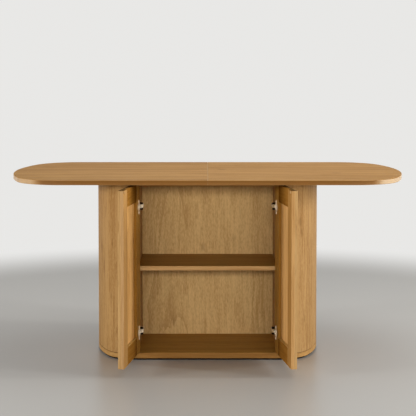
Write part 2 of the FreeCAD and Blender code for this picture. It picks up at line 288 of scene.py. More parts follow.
def make_knot_group():
    """A small pin knot: dark at its middle, drawn out along the grain."""
    group, given, result = new_group("pin_knot", "ShaderNodeTree", [
        ("Coordinate", "NodeSocketVector", None),
        ("Place", "NodeSocketVector", None),
        ("Size", "NodeSocketVector", (0.01, 0.01, 0.02)),
    ], [("Mask", "NodeSocketFloat")])
    away = add_node(group, "ShaderNodeVectorMath", operation="SUBTRACT")
    feed(group, away.inputs[0], given["Coordinate"])
    feed(group, away.inputs[1], given["Place"])
    scaled = add_node(group, "ShaderNodeVectorMath", operation="DIVIDE")
    feed(group, scaled.inputs[0], away.outputs[0])
    feed(group, scaled.inputs[1], given["Size"])
    distance = add_node(group, "ShaderNodeVectorMath", operation="LENGTH")
    feed(group, distance.inputs[0], scaled.outputs[0])
    feed(group, result["Mask"], slope(group, distance.outputs["Value"], 1.0, 0.1))
    return group


def make_tint_group():
    """A colour multiplied by three factors, to the given share."""
    group, given, result = new_group("tinted", "ShaderNodeTree", [
        ("Share", "NodeSocketFloat", 1.0),
        ("Color", "NodeSocketColor", (0.5, 0.5, 0.5, 1.0)),
        ("Factors", "NodeSocketColor", (1.0, 1.0, 1.0, 1.0)),
    ], [("Color", "NodeSocketColor")])
    multiplied = blend_colour(group, 1.0, given["Color"], given["Factors"], "MULTIPLY")
    feed(group, result["Color"], blend_colour(group, given["Share"], given["Color"], multiplied))
    return group


def make_facing_group():
    """Masks from the way a face looks: 1 where it stands upright, and 1 where it looks up."""
    group, given, result = new_group("facing", "ShaderNodeTree", [
        ("Limit", "NodeSocketFloat", 0.5),
    ], [("Upright", "NodeSocketFloat"), ("Upward", "NodeSocketFloat")])
    rise = split(group, add_node(group, "ShaderNodeNewGeometry").outputs["Normal"])[2]
    limit = given["Limit"]
    flat, steep = calc(group, "ADD", limit, 0.1), calc(group, "SUBTRACT", limit, 0.1)
    feed(group, result["Upright"], slope(group, calc(group, "ABSOLUTE", rise), flat, steep))
    feed(group, result["Upward"], slope(group, rise, flat, calc(group, "ADD", limit, 0.3)))
    return group


def make_door_place_group():
    """Across, through and up a door that stands open, measured from its swing axis."""
    group, given, result = new_group("door_place", "ShaderNodeTree", [
        ("Coordinate", "NodeSocketVector", None),
        ("Swing Axis", "NodeSocketVector", None),
        ("Turn", "NodeSocketVector", None),
    ], [("Place", "NodeSocketVector")])
    mapping = add_node(group, "ShaderNodeMapping", vector_type="TEXTURE")
    feed(group, mapping.inputs["Vector"], given["Coordinate"])
    feed(group, mapping.inputs["Location"], given["Swing Axis"])
    feed(group, mapping.inputs["Rotation"], given["Turn"])
    feed(group, result["Place"], mapping.outputs[0])
    return group


def make_wall_place_group():
    """Round, through and up a wall that bends about an upright line."""
    group, given, result = new_group("bent_wall_place", "ShaderNodeTree", [
        ("Coordinate", "NodeSocketVector", None),
        ("Side", "NodeSocketFloat", 1.0),
        ("Line", "NodeSocketFloat", 0.20),
        ("Radius", "NodeSocketFloat", 0.30),
    ], [("Place", "NodeSocketVector")])
    x, y, z = split(group, given["Coordinate"])
    out = calc(group, "SUBTRACT", times(group, x, given["Side"]), given["Line"])
    turn = calc(group, "ARCTAN2", y, out)
    reach = calc(group, "SQRT", calc(group, "MULTIPLY_ADD", out, out, times(group, y, y)))
    through = calc(group, "SUBTRACT", reach, given["Radius"])
    feed(group, result["Place"], join(group, times(group, turn, given["Radius"]), through, z))
    return group


def make_plain_group():
    """A paint, metal or rubber: broad and fine variation of its colour, roughness and relief."""
    group, given, result = new_group("plain_surface", "ShaderNodeTree", [
        ("Coordinate", "NodeSocketVector", None),
        ("Size", "NodeSocketVector", (0.01, 0.01, 0.01)),
        ("First Color", "NodeSocketColor", (0.5, 0.5, 0.5, 1.0)),
        ("Second Color", "NodeSocketColor", (0.6, 0.6, 0.6, 1.0)),
        ("Edge", "NodeSocketFloat", 0.0),
        ("Even Roughness", "NodeSocketFloat", 0.5),
    ], [("Color", "NodeSocketColor"), ("Roughness", "NodeSocketFloat"), ("Height", "NodeSocketFloat")])
    broad = noise(group, given["Coordinate"], given["Size"], 3.0)[0]
    smaller = add_node(group, "ShaderNodeVectorMath", operation="SCALE")
    feed(group, smaller.inputs[0], given["Size"])
    smaller.inputs["Scale"].default_value = 0.08
    fine = noise(group, given["Coordinate"], smaller.outputs[0])[0]
    share = calc(group, "MULTIPLY_ADD", given["Edge"], 0.4, slope(group, broad, 0.3, 0.7), clamp=True)
    colour = blend_colour(group, share, given["First Color"], given["Second Color"])
    feed(group, result["Color"], colour)
    feed(group, result["Roughness"], vary(group, fine, 0.18, given["Even Roughness"]))
    feed(group, result["Height"], fine)
    return group


OAK = make_oak_group()
ARRIS = make_arris_group()
KNOT = make_knot_group()
TINT = make_tint_group()
FACING = make_facing_group()
DOOR_PLACE = make_door_place_group()
WALL_PLACE = make_wall_place_group()
PLAIN = make_plain_group()


def place_group(tree, group, **values):
    node = add_node(tree, "ShaderNodeGroup", node_tree=group)
    for label, value in values.items():
        feed(tree, node.inputs[label.replace("_", " ")], value)
    return node


# ---------------------------------------------------------------- board coordinates
# x runs across the board, y through it and z along its grain. Only the bent walls and the doors
# need the side of the table, but every function takes it, so that oak_finish can call any of them.
def object_coordinate(tree):
    return add_node(tree, "ShaderNodeTexCoord").outputs["Object"]


def grain_along_table(tree, side):
    x, y, z = split(tree, object_coordinate(tree))
    return join(tree, y, z, x)


def grain_upright_front(tree, side):
    return object_coordinate(tree)


def grain_upright_side(tree, side):
    x, y, z = split(tree, object_coordinate(tree))
    return join(tree, y, x, z)


def grain_round_wall(tree, side):
    """Upright grain on a wall that bends: x follows the wall round, y runs through it."""
    place = place_group(tree, WALL_PLACE, Coordinate=object_coordinate(tree), Side=float(side))
    return place.outputs["Place"]


def grain_up_door(tree, side):
    """Across, through and up the door, measured from its swing axis."""
    place = place_group(
        tree, DOOR_PLACE, Coordinate=object_coordinate(tree),
        Swing_Axis=(side * SWING_AXIS.x, SWING_AXIS.y, 0.0),
        Turn=(0.0, 0.0, math.radians(side * DOOR_TURN)))
    return place.outputs["Place"]


def grain_across_door(tree, side):
    x, y, z = split(tree, grain_up_door(tree, side))
    return join(tree, z, y, x)


def door_reach(tree, side):
    """How far a point lies from the swing axis, across the door: negative towards the free edge."""
    return times(tree, split(tree, grain_up_door(tree, side))[0], side)


# ---------------------------------------------------------------- materials
OAK_RELIEF = 0.00025
# how far softened edges turn paler: wear, and a painted highlight on the rounded edge
EDGE_WEAR_AND_HIGHLIGHT = 0.45
COAT_ROUGHNESS = 0.25


def new_material(name):
    material = bpy.data.materials.new(name)
    material.use_nodes = True
    tree = material.node_tree
    return material, tree, tree.nodes["Principled BSDF"]


def finish_surface(tree, shader, coordinate, height, depth, radius):
    """Joins the fine relief and the softened edges, and returns the mask of the edges."""
    arris = place_group(tree, ARRIS, Coordinate=coordinate, Radius=radius)
    bump = add_node(tree, "ShaderNodeBump")
    bump.inputs["Distance"].default_value = depth
    feed(tree, bump.inputs["Height"], height)
    feed(tree, bump.inputs["Normal"], arris.outputs["Normal"])
    feed(tree, shader.inputs["Normal"], bump.outputs[0])
    return arris.outputs["Edge"]


def oak_finish(
        name, coordinate_of, side=1, arris=0.0012, extra=None, lacquer_of=None, specular=0.08, **board):
    """Lacquered oak. board gives the values of the oak group, and extra may change the colour."""
    material, tree, shader = new_material(name)
    coordinate = coordinate_of(tree, side)
    oak = place_group(tree, OAK, Coordinate=coordinate, **board)
    colour = oak.outputs["Color"]
    if extra is not None:
        colour = extra(tree, colour)
    edge = finish_surface(tree, shader, coordinate, oak.outputs["Height"], OAK_RELIEF, arris)
    # softened edges blend to a paler oak: partly wear, partly a painted highlight where the rounded
    # edge catches the light
    worn_and_highlit = blend_colour(tree, times(tree, edge, EDGE_WEAR_AND_HIGHLIGHT), colour, WORN_AND_HIGHLIT_OAK)
    feed(tree, shader.inputs["Base Color"], worn_and_highlit)
    feed(tree, shader.inputs["Roughness"], oak.outputs["Roughness"])
    shader.inputs["Specular IOR Level"].default_value = specular
    shader.inputs["Coat Roughness"].default_value = COAT_ROUGHNESS
    if lacquer_of is not None:
        feed(tree, shader.inputs["Coat Weight"], lacquer_of(tree))
    return material


PALE_OAK = (0.500, 0.295, 0.115)
DARK_OAK = (0.355, 0.187, 0.062)
PORE_OAK = (0.170, 0.080, 0.025)
# paler oak of worn edges, which is also a painted highlight on them
WORN_AND_HIGHLIT_OAK = (0.60, 0.39, 0.19, 1.0)
RIM_OAK = (0.185, 0.076, 0.015, 1.0)
# dark oak of the painted shade in the groove at the foot of the end walls
GROOVE_SHADE_OAK = (0.10, 0.045, 0.012, 1.0)
# paler inner face of the door skins: a paler veneer, raised further as painted light, more on the left
# door
PANEL_VENEER_AND_LIGHT_TINT = {1: (1.42, 1.34, 1.18, 1.0), -1: (1.62, 1.53, 1.32, 1.0)}
# lifts the shelf's upright edges back from its painted shade
SHELF_EDGE_TINT = (1.58, 1.84, 4.80, 1.0)
# painted shade on the hinge stile's edge at the recess
STEP_SHADE_TINT = (0.66, 0.60, 0.50, 1.0)
STILE_END_TINT = {1: (1.16, 1.26, 1.65, 1.0), -1: (0.97, 1.03, 1.32, 1.0)}
# painted shade on the top edges of the doors
TOP_EDGE_SHADE_TINT = (0.30, 0.28, 0.25, 1.0)
# painted shade on the head of the hinge stile, under the table top
HEAD_SHADE_TINT = (0.58, 0.52, 0.36, 1.0)
# painted shade on the rails towards the hinge stile
RAIL_SHADE = (0.42, 0.37, 0.22, 1.0)
# tints that lift the upright faces of the bottom panel back from its painted shade
LIP_TINT = {"end": (1.04, 1.13, 2.15, 1.0), "front": (1.02, 1.00, 1.60, 1.0)}
# painted light on the upward ledge of the rails
LEDGE_LIGHT_TINT = (2.0, 3.0, 6.0, 1.0)
# paler oak of the painted highlight on the curved ends of the rim of the top
END_HIGHLIGHT_OAK = (0.70, 0.55, 0.36, 1.0)
# paler oak of the painted highlight along the seam
SEAM_HIGHLIGHT_OAK = (0.70, 0.50, 0.29, 1.0)

# where a change of colour or coat starts and where it is complete: along the table, measured from
# its middle, then up the rim of the top, then across a door, measured from its swing axis
SEAM_LINE = (0.0030, 0.0010)
TOP_END = (0.655, 0.715)
LACQUER_BUILD = (0.50, 0.62)
LIP_END = (0.30, 0.33)
RIM_MIDDLE = (TOP_Z - 0.0105, TOP_Z - 0.0065)
RECESS_REACH = (-0.215, -0.085)


def opaque(colour):
    return tuple(colour) + (1.0,)


def oak_colours(level, amber=0.0, olive=0.0):
    """The three colours of oak that is paler or darker, more amber or more olive than usual."""
    lean = (1.0 - 0.3 * olive, 1.0 - 0.35 * amber + 0.7 * olive, 1.0 - amber)
    kinds = dict(Pale_Wood=PALE_OAK, Dark_Wood=DARK_OAK, Pore_Wood=PORE_OAK)
    return {
        label: opaque(level * share * value for share, value in zip(lean, colour))
        for label, colour in kinds.items()}


def tint(tree, share, colour, factors):
    """The colour multiplied by the factors, to the given share."""
    return place_group(tree, TINT, Share=share, Color=colour, Factors=factors).outputs["Color"]


def upright_mask(tree):
    """1 where the face stands upright, 0 where it lies flat."""
    return place_group(tree, FACING).outputs["Upright"]


def upward_mask(tree):
    """1 where the face looks up."""
    return place_group(tree, FACING).outputs["Upward"]


def away_from_middle(tree):
    """How far a point lies from the middle of the table, along its length."""
    return calc(tree, "ABSOLUTE", split(tree, object_coordinate(tree))[0])


def add_knots(tree, colour, knots):
    coordinate = object_coordinate(tree)
    for place, size, depth in knots:
        knot = place_group(tree, KNOT, Coordinate=coordinate, Place=place, Size=size)
        share = times(tree, knot.outputs["Mask"], depth)
        colour = blend_colour(tree, share, colour, opaque(PORE_OAK))
    return colour


def with_knots(knots):
    def change(tree, colour):
        return add_knots(tree, colour, knots)
    return change


def top_extra(knots, end_highlight_share):
    """The darker rim of the top, with a painted highlight on its curved ends, a pale line along the
    seam that is a painted highlight on its chamfers, and the small knots.
    """
    def change(tree, colour):
        colour = add_knots(tree, colour, knots)
        away = away_from_middle(tree)
        # a painted highlight along the seam, where its small chamfers catch the light
        seam_highlight = slope(tree, away, *SEAM_LINE)
        colour = blend_colour(tree, times(tree, seam_highlight, 0.45), colour, SEAM_HIGHLIGHT_OAK)
        upright = upright_mask(tree)
        # painted highlight: towards the curved ends the dark rim fades and turns paler, more on the
        # right end
        at_end = slope(tree, away, *TOP_END)
        end_rim_highlight = times(tree, at_end, upright)
        colour = blend_colour(tree, times(tree, end_rim_highlight, end_highlight_share), colour, END_HIGHLIGHT_OAK)
        upper_half = slope(tree, split(tree, object_coordinate(tree))[2], *RIM_MIDDLE)
        share = times(tree, upright, calc(tree, "MULTIPLY_ADD", upper_half, 0.10, 0.86))
        share = times(tree, share, calc(tree, "MULTIPLY_ADD", at_end, -0.85, 1.0))
        return blend_colour(tree, share, colour, RIM_OAK)
    return change


def rim_lacquer(tree):
    """The coat on the rim of the top, which builds up towards the ends."""
    weight = calc(tree, "MULTIPLY_ADD", slope(tree, away_from_middle(tree), *LACQUER_BUILD), 0.30, 0.15)
    return times(tree, upright_mask(tree), weight)


def top_edge_shade(tree, colour):
    """Painted shade on the top edge of a door, which lies in the shade under the table top."""
    return tint(tree, upward_mask(tree), colour, TOP_EDGE_SHADE_TINT)


def panel_extra(side):
    """The door's skin: a paler inner face, partly a paler veneer and partly painted light, more so on
    the left door, and a top edge darkened as painted shade.
    """
    def change(tree, colour):
        through = split(tree, grain_up_door(tree, side))[1]
        # the inner face: paler veneer plus painted light
        inside = slope(tree, through, SKIN_INNER_Y - 0.0006, SKIN_INNER_Y - 0.0002)
        return top_edge_shade(tree, tint(tree, inside, colour, PANEL_VENEER_AND_LIGHT_TINT[side]))
    return change


def rail_extra(side, share):
    """A door rail: painted shade that deepens towards the hinge stile, and painted light on the upward
    ledge along the recess.
    """
    def change(tree, colour):
        near_shade = times(tree, slope(tree, door_reach(tree, side), *RECESS_REACH, smooth=False), share)
        colour = tint(tree, near_shade, colour, RAIL_SHADE)
        # painted light: the ledge along the recess looks up and is made paler
        low = slope(tree, split(tree, object_coordinate(tree))[2], 0.5, 0.4)
        return tint(tree, times(tree, upward_mask(tree), low), colour, LEDGE_LIGHT_TINT)
    return change


def free_stile_extra(side):
    """The free stile's end face is as pale as the skin's edge beside it, and its top edge is darkened
    as painted shade.
    """
    def change(tree, colour):
        end = slope(tree, door_reach(tree, side), DOOR_END_X + 0.0014, DOOR_END_X + 0.0008)
        return top_edge_shade(tree, tint(tree, end, colour, STILE_END_TINT[side]))
    return change


def stile_extra(side):
    """Painted shade on the hinge stile: along its edge at the recess, where the corner lies in shade,
    and on its head, in the shade of the table top.
    """
    def change(tree, colour):
        edge = slope(tree, door_reach(tree, side), STILE_EDGE_X + 0.0012, STILE_EDGE_X + 0.0006)
        colour = tint(tree, edge, colour, STEP_SHADE_TINT)
        height = split(tree, object_coordinate(tree))[2]
        head = slope(tree, height, TOP_RAIL_Z - 0.004, TOP_RAIL_Z + 0.012)
        return tint(tree, head, colour, HEAD_SHADE_TINT)
    return change


def bottom_extra(tree, colour):
    """The darker front edge of the bottom panel, and its paler lip round the two curved ends, both
    lifted back from the darker, more amber board colour, which is painted shade for its top.
    """
    upright = upright_mask(tree)
    ends = slope(tree, away_from_middle(tree), *LIP_END)
    front = calc(tree, "SUBTRACT", 1.0, ends)
    colour = tint(tree, times(tree, upright, ends), colour, LIP_TINT["end"])
    colour = tint(tree, times(tree, upright, front), colour, LIP_TINT["front"])
    return blend_colour(tree, times(tree, upright, times(tree, front, 0.34)), colour, RIM_OAK)


def shelf_extra(tree, colour):
    """Lifts the upright edges of the shelf back from its darker, more amber board colour, which is
    painted shade for its top.
    """
    return tint(tree, upright_mask(tree), colour, SHELF_EDGE_TINT)


def wall_extra(knots):
    """Knots, and painted shade in the shadow groove round the foot of the wall."""
    def change(tree, colour):
        colour = add_knots(tree, colour, knots)
        height = split(tree, object_coordinate(tree))[2]
        # painted shade in the groove
        groove_shade = slope(tree, height, GROOVE_TOP + 0.0004, GROOVE_TOP - 0.0004)
        return blend_colour(tree, times(tree, groove_shade, 0.85), colour, GROOVE_SHADE_OAK)
    return change


# each knot: its place, its size and its depth of colour
TOP_KNOTS = {
    1: [((0.062, 0.055, TOP_Z), (0.030, 0.020, 0.02), 0.75),
        ((0.545, -0.110, TOP_Z), (0.034, 0.018, 0.02), 0.60)],
    -1: [((-0.62, -0.02, TOP_Z), (0.040, 0.012, 0.02), 0.20)],
}
WALL_KNOTS = {
    1: [((0.3837, -0.2601, 0.572), (0.012, 0.014, 0.030), 0.50),
        ((0.3898, -0.2555, 0.528), (0.012, 0.014, 0.028), 0.45)],
    -1: [((-0.4458, -0.1563, 0.456), (0.012, 0.022, 0.042), 0.50),
         ((-0.4338, -0.1875, 0.377), (0.012, 0.020, 0.050), 0.40)],
}
BACK_KNOTS = [
    ((-0.020, BACK_FACE_Y, 0.418), (0.012, 0.02, 0.028), 0.28),
    ((-0.148, BACK_FACE_Y, 0.087), (0.014, 0.02, 0.034), 0.25),
    ((0.116, BACK_FACE_Y, 0.457), (0.016, 0.02, 0.022), 0.18),
]

# the cut of the boards
TOP_CUT = dict(
    Plank_Width=0.150, Ring_Spacing=0.006, Lean=0.03, Figure=0.35, Streaks=1.3, Bands=2.2,
    Band_Width=0.040, Marks=0.15, Plank_Contrast=0.45, Sheen_Loss=0.58)
WALL_CUT = dict(
    Plank_Width=0.105, Ring_Spacing=0.009, Lean=0.06, Figure=0.7, Streaks=2.8, Bands=1.6,
    Band_Width=0.014, Marks=0.40, Plank_Contrast=0.8, Speckle=1.4, Sheen_Loss=0.48)
DOOR_CUT = dict(
    Plank_Width=0.155, Ring_Spacing=0.008, Lean=0.05, Figure=0.5, Streaks=2.0, Bands=1.2,
    Band_Width=0.014, Marks=0.25, Plank_Contrast=0.5)
RAIL_CUT = dict(
    Plank_Width=0.20, Ring_Spacing=0.008, Lean=0.04, Figure=0.5, Streaks=2.0, Bands=1.0,
    Band_Width=0.012, Marks=0.2, Plank_Contrast=0.3)
BACK_CUT = dict(
    Plank_Width=0.14, Ring_Spacing=0.010, Lean=0.05, Figure=0.6, Streaks=1.5, Bands=0.6,
    Band_Width=0.016, Marks=0.15, Plank_Contrast=0.2, Speckle=1.4)
SIDE_CUT = dict(
    Plank_Width=0.14, Ring_Spacing=0.010, Lean=0.05, Figure=0.6, Streaks=2.0, Bands=1.2,
    Band_Width=0.016, Marks=0.30, Plank_Contrast=0.4)
LONG_CUT = dict(
    Plank_Width=0.13, Ring_Spacing=0.008, Lean=0.04, Figure=0.5, Streaks=1.6, Bands=1.4,
    Band_Width=0.020, Marks=0.2, Plank_Contrast=0.3)

# what differs between the right and the left side
# share of the painted highlight at each curved end of the rim
TOP_END_HIGHLIGHT_SHARE = {1: 0.60, -1: 0.33}
WALL_COLOURS = {1: oak_colours(0.86), -1: oak_colours(0.86, 0.08)}
STILE_COLOURS = {1: oak_colours(0.90, 0.36), -1: oak_colours(0.98, 0.20)}


def oak_of_one_side(side, word):
    """The oak of each board that the table has once on either side, under the name of its node."""
    made = {}
    made[word + "_tabletop"] = oak_finish(
        word + "_top_oak", grain_along_table, side,
        extra=top_extra(TOP_KNOTS[side], TOP_END_HIGHLIGHT_SHARE[side]), lacquer_of=rim_lacquer,
        specular=0.06, Seed=2.0 + side * 0.7, **TOP_CUT, **oak_colours(1.0, 0.18))
    made[word + "_end_wall"] = oak_finish(
        word + "_wall_oak", grain_round_wall, side, extra=wall_extra(WALL_KNOTS[side]),
        specular=0.04, Seed=4.0 + side * 1.3, **WALL_CUT, **WALL_COLOURS[side])
    made[word + "_door_free_stile"] = oak_finish(
        word + "_free_stile_oak", grain_up_door, side, 0.0016, free_stile_extra(side),
        specular=0.0, Seed=6.0 + side * 2.1, **DOOR_CUT, **STILE_COLOURS[side])
    # the hinge stiles and rails are more amber than the other boards: painted shade, the deep amber of
    # the shade on the doors' inner faces
    made[word + "_door_hinge_stile"] = oak_finish(
        word + "_hinge_stile_oak", grain_up_door, side, 0.0010, stile_extra(side),
        Seed=5.0 + side * 2.1, **DOOR_CUT, **oak_colours(1.08, 0.56, 0.08))
    made[word + "_door_skin"] = oak_finish(
        word + "_door_skin_oak", grain_up_door, side, 0.0016, panel_extra(side),
        specular=0.0, Seed=7.0 + side * 2.7, **DOOR_CUT, **oak_colours(1.0, -0.06))
    # how much painted shade each rail takes towards the hinge stile
    for rail, share in (("top", 1.0), ("bottom", 0.45)):
        made[word + "_door_" + rail + "_rail"] = oak_finish(
            word + "_" + rail + "_rail_oak", grain_across_door, side, 0.0010, rail_extra(side, share),
            specular=0.0, Seed=9.0 + side * 1.7, **RAIL_CUT, **oak_colours(0.70, 0.65))
    return made


def oak_of_the_middle():
    """The oak of the boards that both sides share, and of those between the two sides."""
    back_oak = oak_finish(
        "back_panel_oak", grain_upright_front, extra=with_knots(BACK_KNOTS),
        Seed=11.3, **BACK_CUT, **oak_colours(1.42, -0.20, 0.05))
    side_oak = oak_finish(
        "side_panel_oak", grain_upright_side, Seed=12.9, **SIDE_CUT, **oak_colours(1.0))
    made = dict(inner_back=back_oak, outer_back=back_oak)
    for _, word in SIDES:
        for board in ("_gable", "_front_corner_post", "_rear_corner_post"):
            made[word + board] = side_oak
    made["carcass_top"] = oak_finish(
        "carcass_top_oak", grain_along_table, Seed=14.2, **LONG_CUT, **oak_colours(0.95, 0.3))
    # the shelf and the bottom panel are darker and more amber than the other boards: painted shade for
    # their tops, which their upright edges are lifted back from
    made["shelf"] = oak_finish(
        "shelf_oak", grain_along_table, extra=shelf_extra,
        Seed=17.6, **LONG_CUT, **oak_colours(0.77, 0.66, 0.10))
    # darker and more amber: painted shade for the top of the bottom panel
    made["bottom_panel"] = oak_finish(
        "bottom_panel_oak", grain_along_table, extra=bottom_extra,
        Seed=15.8, **LONG_CUT, **oak_colours(0.90, 0.62, 0.10))
    return made


def plain_finish(
        name, colour, second, size, roughness,
        metallic=0.0, relief=0.00005, arris=0.0004, specular=0.4):
    """A paint, metal or rubber whose colour and roughness vary softly over the surface."""
    material, tree, shader = new_material(name)
    coordinate = object_coordinate(tree)
    plain = place_group(
        tree, PLAIN, Coordinate=coordinate, Size=size,
        First_Color=opaque(colour), Second_Color=opaque(second),
        Even_Roughness=roughness)
    edge = finish_surface(tree, shader, coordinate, plain.outputs["Height"], relief, arris)
    feed(tree, plain.inputs["Edge"], edge)
    feed(tree, shader.inputs["Base Color"], plain.outputs["Color"])
    feed(tree, shader.inputs["Roughness"], plain.outputs["Roughness"])
    shader.inputs["Metallic"].default_value = metallic
    shader.inputs["Specular IOR Level"].default_value = specular
    return material


# ---------------------------------------------------------------- screws, made by geometry nodes
def make_screw_tree():
    """Rows of cross-recessed screw heads: groups of a few screws, repeated at even steps."""
    tree, given, result = new_group("screw_rows", "GeometryNodeTree", [
        ("First", "NodeSocketVector", None),
        ("Axis", "NodeSocketVector", (0.0, 0.0, 1.0)),
        ("Screws", "NodeSocketInt", 2),
        ("Screw Step", "NodeSocketVector", None),
        ("Groups", "NodeSocketInt", 2),
        ("Group Step", "NodeSocketVector", None),
        ("Head Radius", "NodeSocketFloat", 0.0035),
        ("Head Height", "NodeSocketFloat", 0.0009),
        ("Recess Width", "NodeSocketFloat", 0.0008),
        ("Seed", "NodeSocketInt", 3),
        ("Finish", "NodeSocketMaterial", None),
    ], [("Geometry", "NodeSocketGeometry")])
    head = add_node(tree, "GeometryNodeMeshCylinder")
    head.inputs["Vertices"].default_value = 20
    feed(tree, head.inputs["Radius"], given["Head Radius"])
    feed(tree, head.inputs["Depth"], given["Head Height"])
    recess_depth = times(tree, given["Head Height"], 1.1)
    recess_length = times(tree, given["Head Radius"], 1.15)
    recess_width = given["Recess Width"]
    cutters = []
    for along, across in ((recess_width, recess_length), (recess_length, recess_width)):
        arm = add_node(tree, "GeometryNodeMeshCube")
        feed(tree, arm.inputs["Size"], join(tree, along, across, recess_depth))
        lifted = add_node(tree, "GeometryNodeTransform")
        feed(tree, lifted.inputs["Geometry"], arm.outputs["Mesh"])
        feed(tree, lifted.inputs["Translation"], join(tree, 0.0, 0.0, given["Head Height"]))
        cutters.append(lifted.outputs[0])
    cut = add_node(tree, "GeometryNodeMeshBoolean", operation="DIFFERENCE")
    feed(tree, cut.inputs[0], head.outputs["Mesh"])
    for cutter in cutters:
        tree.links.new(cutter, cut.inputs[1])

    small_row = add_node(tree, "GeometryNodeMeshLine")
    feed(tree, small_row.inputs["Count"], given["Screws"])
    feed(tree, small_row.inputs["Offset"], given["Screw Step"])
    big_row = add_node(tree, "GeometryNodeMeshLine")
    feed(tree, big_row.inputs["Count"], given["Groups"])
    feed(tree, big_row.inputs["Start Location"], given["First"])
    feed(tree, big_row.inputs["Offset"], given["Group Step"])
    spread = add_node(tree, "GeometryNodeInstanceOnPoints")
    feed(tree, spread.inputs["Points"], big_row.outputs[0])
    feed(tree, spread.inputs["Instance"], small_row.outputs[0])
    points = add_node(tree, "GeometryNodeRealizeInstances")
    feed(tree, points.inputs[0], spread.outputs[0])

    turn = add_node(tree, "FunctionNodeRandomValue", data_type="FLOAT")
    turn.inputs[3].default_value = math.tau
    feed(tree, turn.inputs["Seed"], given["Seed"])
    spin = add_node(tree, "FunctionNodeAxisAngleToRotation")
    feed(tree, spin.inputs["Axis"], given["Axis"])
    feed(tree, spin.inputs["Angle"], turn.outputs[1])
    aim = add_node(tree, "FunctionNodeAlignRotationToVector", axis="Z")
    feed(tree, aim.inputs["Vector"], given["Axis"])
    both = add_node(tree, "FunctionNodeRotateRotation", rotation_space="GLOBAL")
    feed(tree, both.inputs["Rotation"], aim.outputs[0])
    feed(tree, both.inputs["Rotate By"], spin.outputs[0])
    heads = add_node(tree, "GeometryNodeInstanceOnPoints")
    feed(tree, heads.inputs["Points"], points.outputs[0])
    feed(tree, heads.inputs["Instance"], cut.outputs[0])
    feed(tree, heads.inputs["Rotation"], both.outputs[0])
    solid = add_node(tree, "GeometryNodeRealizeInstances")
    feed(tree, solid.inputs[0], heads.outputs[0])
    painted = add_node(tree, "GeometryNodeSetMaterial")
    feed(tree, painted.inputs["Geometry"], solid.outputs[0])
    feed(tree, painted.inputs["Material"], given["Finish"])
    feed(tree, result["Geometry"], painted.outputs[0])
    return tree


def grow(name, tree, values):
    """Runs a geometry tree with these inputs and keeps its result as a plain mesh."""
    host = bpy.data.objects.new(name + "_host", bpy.data.meshes.new(name + "_host"))
    bpy.context.scene.collection.objects.link(host)
    modifier = host.modifiers.new("grow", "NODES")
    modifier.node_group = tree
    items = tree.interface.items_tree
    sockets = {item.name: item.identifier for item in items if item.in_out == "INPUT"}
    for label, value in values.items():
        modifier[sockets[label.replace("_", " ")]] = value
    bpy.context.view_layer.update()
    evaluated = host.evaluated_get(bpy.context.evaluated_depsgraph_get())
    mesh = bpy.data.meshes.new_from_object(evaluated)
    mesh.name = name
    host.modifiers.clear()
    bpy.data.objects.remove(host)
    return mesh


def piece_of(name, meshes, body):
    """One plain object from a few meshes, riding on a body."""
    objects = []
    for mesh in meshes:
        part = bpy.data.objects.new(name, mesh)
        bpy.context.scene.collection.objects.link(part)
        objects.append(part)
    if len(objects) > 1:
        with bpy.context.temp_override(active_object=objects[0], selected_editable_objects=objects):
            bpy.ops.object.join()
    objects[0].name = name
    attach(objects[0], body)
    return objects[0]


def door_point(x, y, z, side):
    """A place on the closed right door, carried to where the open door of that side is."""
    turned = Vector((x, y, 0.0)) - SWING_AXIS
    turned.rotate(Euler((0.0, 0.0, math.radians(DOOR_TURN))))
    turned += SWING_AXIS
    return Vector((side * turned.x, turned.y, z))


def cap_outline():
    """Half of a cap's plan, as seen from above: a rounded nose and a stepped back."""
    face_x, back_x = ARM_BOX[0].x + CAP_INSET, PLATE_FACE_X - CAP_INSET
    step_x, step_y = face_x + CAP_STEP_DEPTH, CAP_BACK_Y - CAP_STEP_LENGTH
    outline = [
        (back_x, CAP_FRONT_Y), (back_x, CAP_BACK_Y), (step_x, CAP_BACK_Y), (step_x, step_y),
        (face_x, step_y)]
    for facet in range(CAP_CORNER_FACETS + 1):
        turn = math.radians(180.0 + 90.0 * facet / CAP_CORNER_FACETS)
        x = face_x + CAP_CORNER + CAP_CORNER * math.cos(turn)
        outline.append((x, CAP_FRONT_Y + CAP_CORNER + CAP_CORNER * math.sin(turn)))
    return outline


def sort_elements(made):
    """Sorts points, edges and faces along a skew line, so that each run gives them in one order.

    A bevel alone leaves them in an order that varies from run to run.
    """
    made.verts.sort(key=lambda vert: vert.co.dot(SORT_LINE))
    made.edges.sort(key=lambda edge: (edge.verts[0].co + edge.verts[1].co).dot(SORT_LINE))
    made.faces.sort(key=lambda face: face.calc_center_median().dot(SORT_LINE))


def cap_mesh(name, side):
    """Dark end caps on both cheeks of each hinge arm: solid dark blocks, mostly painted shade for the
    dark spots above and below the arm.
    """
    outline = cap_outline()
    made = bmesh.new()
    for height in HINGE_Z:
        for way in (1, -1):
            low = height + way * CAP_FROM
            high = height + way * CAP_TO[way]
            loop = [made.verts.new((side * x, y, low)) for x, y in outline]
            base = made.faces.new(loop)
            lifted = bmesh.ops.extrude_face_region(made, geom=[base])["geom"]
            tops = [part for part in lifted if isinstance(part, bmesh.types.BMVert)]
            bmesh.ops.translate(made, verts=tops, vec=(0.0, 0.0, high - low))
            rim = [edge for edge in made.edges if all(vert in tops for vert in edge.verts)]
            bmesh.ops.bevel(
                made, geom=rim, offset=CAP_BEVEL, segments=3, profile=0.5, affect="EDGES")
    bmesh.ops.recalc_face_normals(made, faces=made.faces)
    sort_elements(made)
    mesh = bpy.data.meshes.new(name)
    made.to_mesh(mesh)
    made.free()
    return mesh


def add_arm_caps(finish):
    for side, word in SIDES:
        mesh = cap_mesh(word + "_arm_caps", side)
        mesh.materials.append(finish)
        piece_of(word + "_arm_caps", [mesh], "pedestal")


